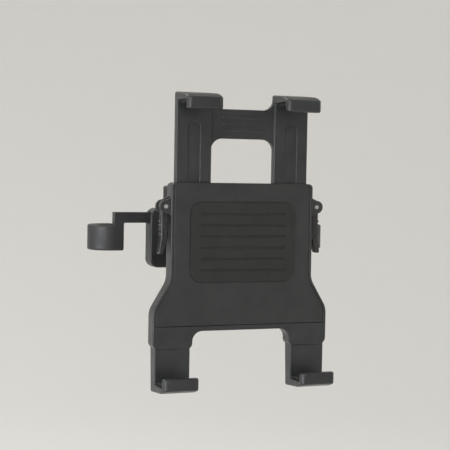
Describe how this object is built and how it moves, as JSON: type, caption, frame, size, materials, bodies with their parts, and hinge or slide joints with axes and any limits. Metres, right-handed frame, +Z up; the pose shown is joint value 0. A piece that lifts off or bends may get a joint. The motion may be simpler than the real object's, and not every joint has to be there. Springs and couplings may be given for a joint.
{
  "type": "headrest tablet mount",
  "caption": "Tablet cradle with hooked claws on a sliding frame, carried by a turning tilt head on a bar with rubber-lined hooks that grip a car headrest's posts.",
  "frame": {"origin": "middle of the front face of the bed pad, where the back of the tablet rests", "axes": "+X to the right seen from the rear seat, +Y towards the headrest posts, +Z up along the posts"},
  "size_m": [0.18, 0.1042, 0.2016],
  "materials": {
    "charcoal_plastic": "satin",
    "black_rubber": "matte",
    "plated_steel": "plated",
    "natural_nylon": "satin"
  },
  "bodies": {
    "base": {"base_front": "charcoal_plastic", "base_back": "charcoal_plastic", "base_screws": "plated_steel", "tilt_bolt": "plated_steel", "hinge_washer_left": "natural_nylon", "hinge_washer_right": "natural_nylon"},
    "right_hook": {"hook_arm_right": "charcoal_plastic", "hook_liner_right": "black_rubber"},
    "left_hook": {"hook_arm_left": "charcoal_plastic", "hook_liner_left": "black_rubber"},
    "pinion": {"arm_pinion": "natural_nylon"},
    "arm_lock": {"arm_lock_screw": "plated_steel", "arm_lock_knob": "charcoal_plastic"},
    "tilt_lock": {"tilt_knob": "charcoal_plastic", "tilt_nut": "plated_steel"},
    "tilt": {"tilt_bracket": "charcoal_plastic", "friction_disc": "natural_nylon"},
    "cradle": {"cradle_housing": "charcoal_plastic", "cradle_cover": "charcoal_plastic", "cover_screws": "plated_steel", "bed_pad": "black_rubber", "lower_claw_pad_left": "black_rubber", "lower_claw_pad_right": "black_rubber", "lever_pin_left": "plated_steel", "lever_pin_right": "plated_steel", "brake_shoe_left": "black_rubber", "brake_shoe_right": "black_rubber", "pivot_bolt": "plated_steel", "pivot_washer": "plated_steel", "pivot_nut": "plated_steel"},
    "slider": {"slider_frame": "charcoal_plastic", "upper_claw_pad_left": "black_rubber", "upper_claw_pad_right": "black_rubber"},
    "left_lever": {"lock_lever_left": "charcoal_plastic"},
    "right_lever": {"lock_lever_right": "charcoal_plastic"}
  },
  "joints": [
    {"name": "right_hook_slide", "type": "slide", "parent": "base", "child": "right_hook", "axis": [1, 0, 0], "range_m": [-0.017, 0.02]},
    {"name": "left_hook_slide", "type": "slide", "parent": "base", "child": "left_hook", "axis": [-1, 0, 0], "range_m": [-0.017, 0.02]},
    {"name": "pinion_turn", "type": "hinge", "parent": "base", "child": "pinion", "pos_m": [0, 0.0581, 0], "axis": [0, -1, 0], "range_deg": [-109, 128]},
    {"name": "arm_lock_turn", "type": "hinge", "parent": "base", "child": "arm_lock", "pos_m": [-0.028, 0.0581, 0.03], "axis": [0, 0, 1], "range_deg": [0, 360]},
    {"name": "tilt_knob_turn", "type": "hinge", "parent": "base", "child": "tilt_lock", "pos_m": [0.026, 0.0363, 0], "axis": [-1, 0, 0], "range_deg": [0, 360]},
    {"name": "head_tilt", "type": "hinge", "parent": "base", "child": "tilt", "pos_m": [0, 0.0363, 0], "axis": [1, 0, 0], "range_deg": [-20, 20]},
    {"name": "cradle_spin", "type": "hinge", "parent": "tilt", "child": "cradle", "pos_m": [0, 0.0145, 0], "axis": [0, 1, 0], "continuous": true},
    {"name": "slider_lift", "type": "slide", "parent": "cradle", "child": "slider", "axis": [0, 0, 1], "range_m": [-0.05, 0.01]},
    {"name": "left_lever_flip", "type": "hinge", "parent": "cradle", "child": "left_lever", "pos_m": [-0.0553, 0.0065, 0.024], "axis": [0, 1, 0], "range_deg": [0, 110]},
    {"name": "right_lever_flip", "type": "hinge", "parent": "cradle", "child": "right_lever", "pos_m": [0.0553, 0.0065, 0.024], "axis": [0, -1, 0], "range_deg": [0, 110]}
  ],
  "couplings": [
    {"joint": "left_hook_slide", "follows": "right_hook_slide", "ratio": 1},
    {"joint": "pinion_turn", "follows": "right_hook_slide", "rad_per_m": 111.11}
  ]
}
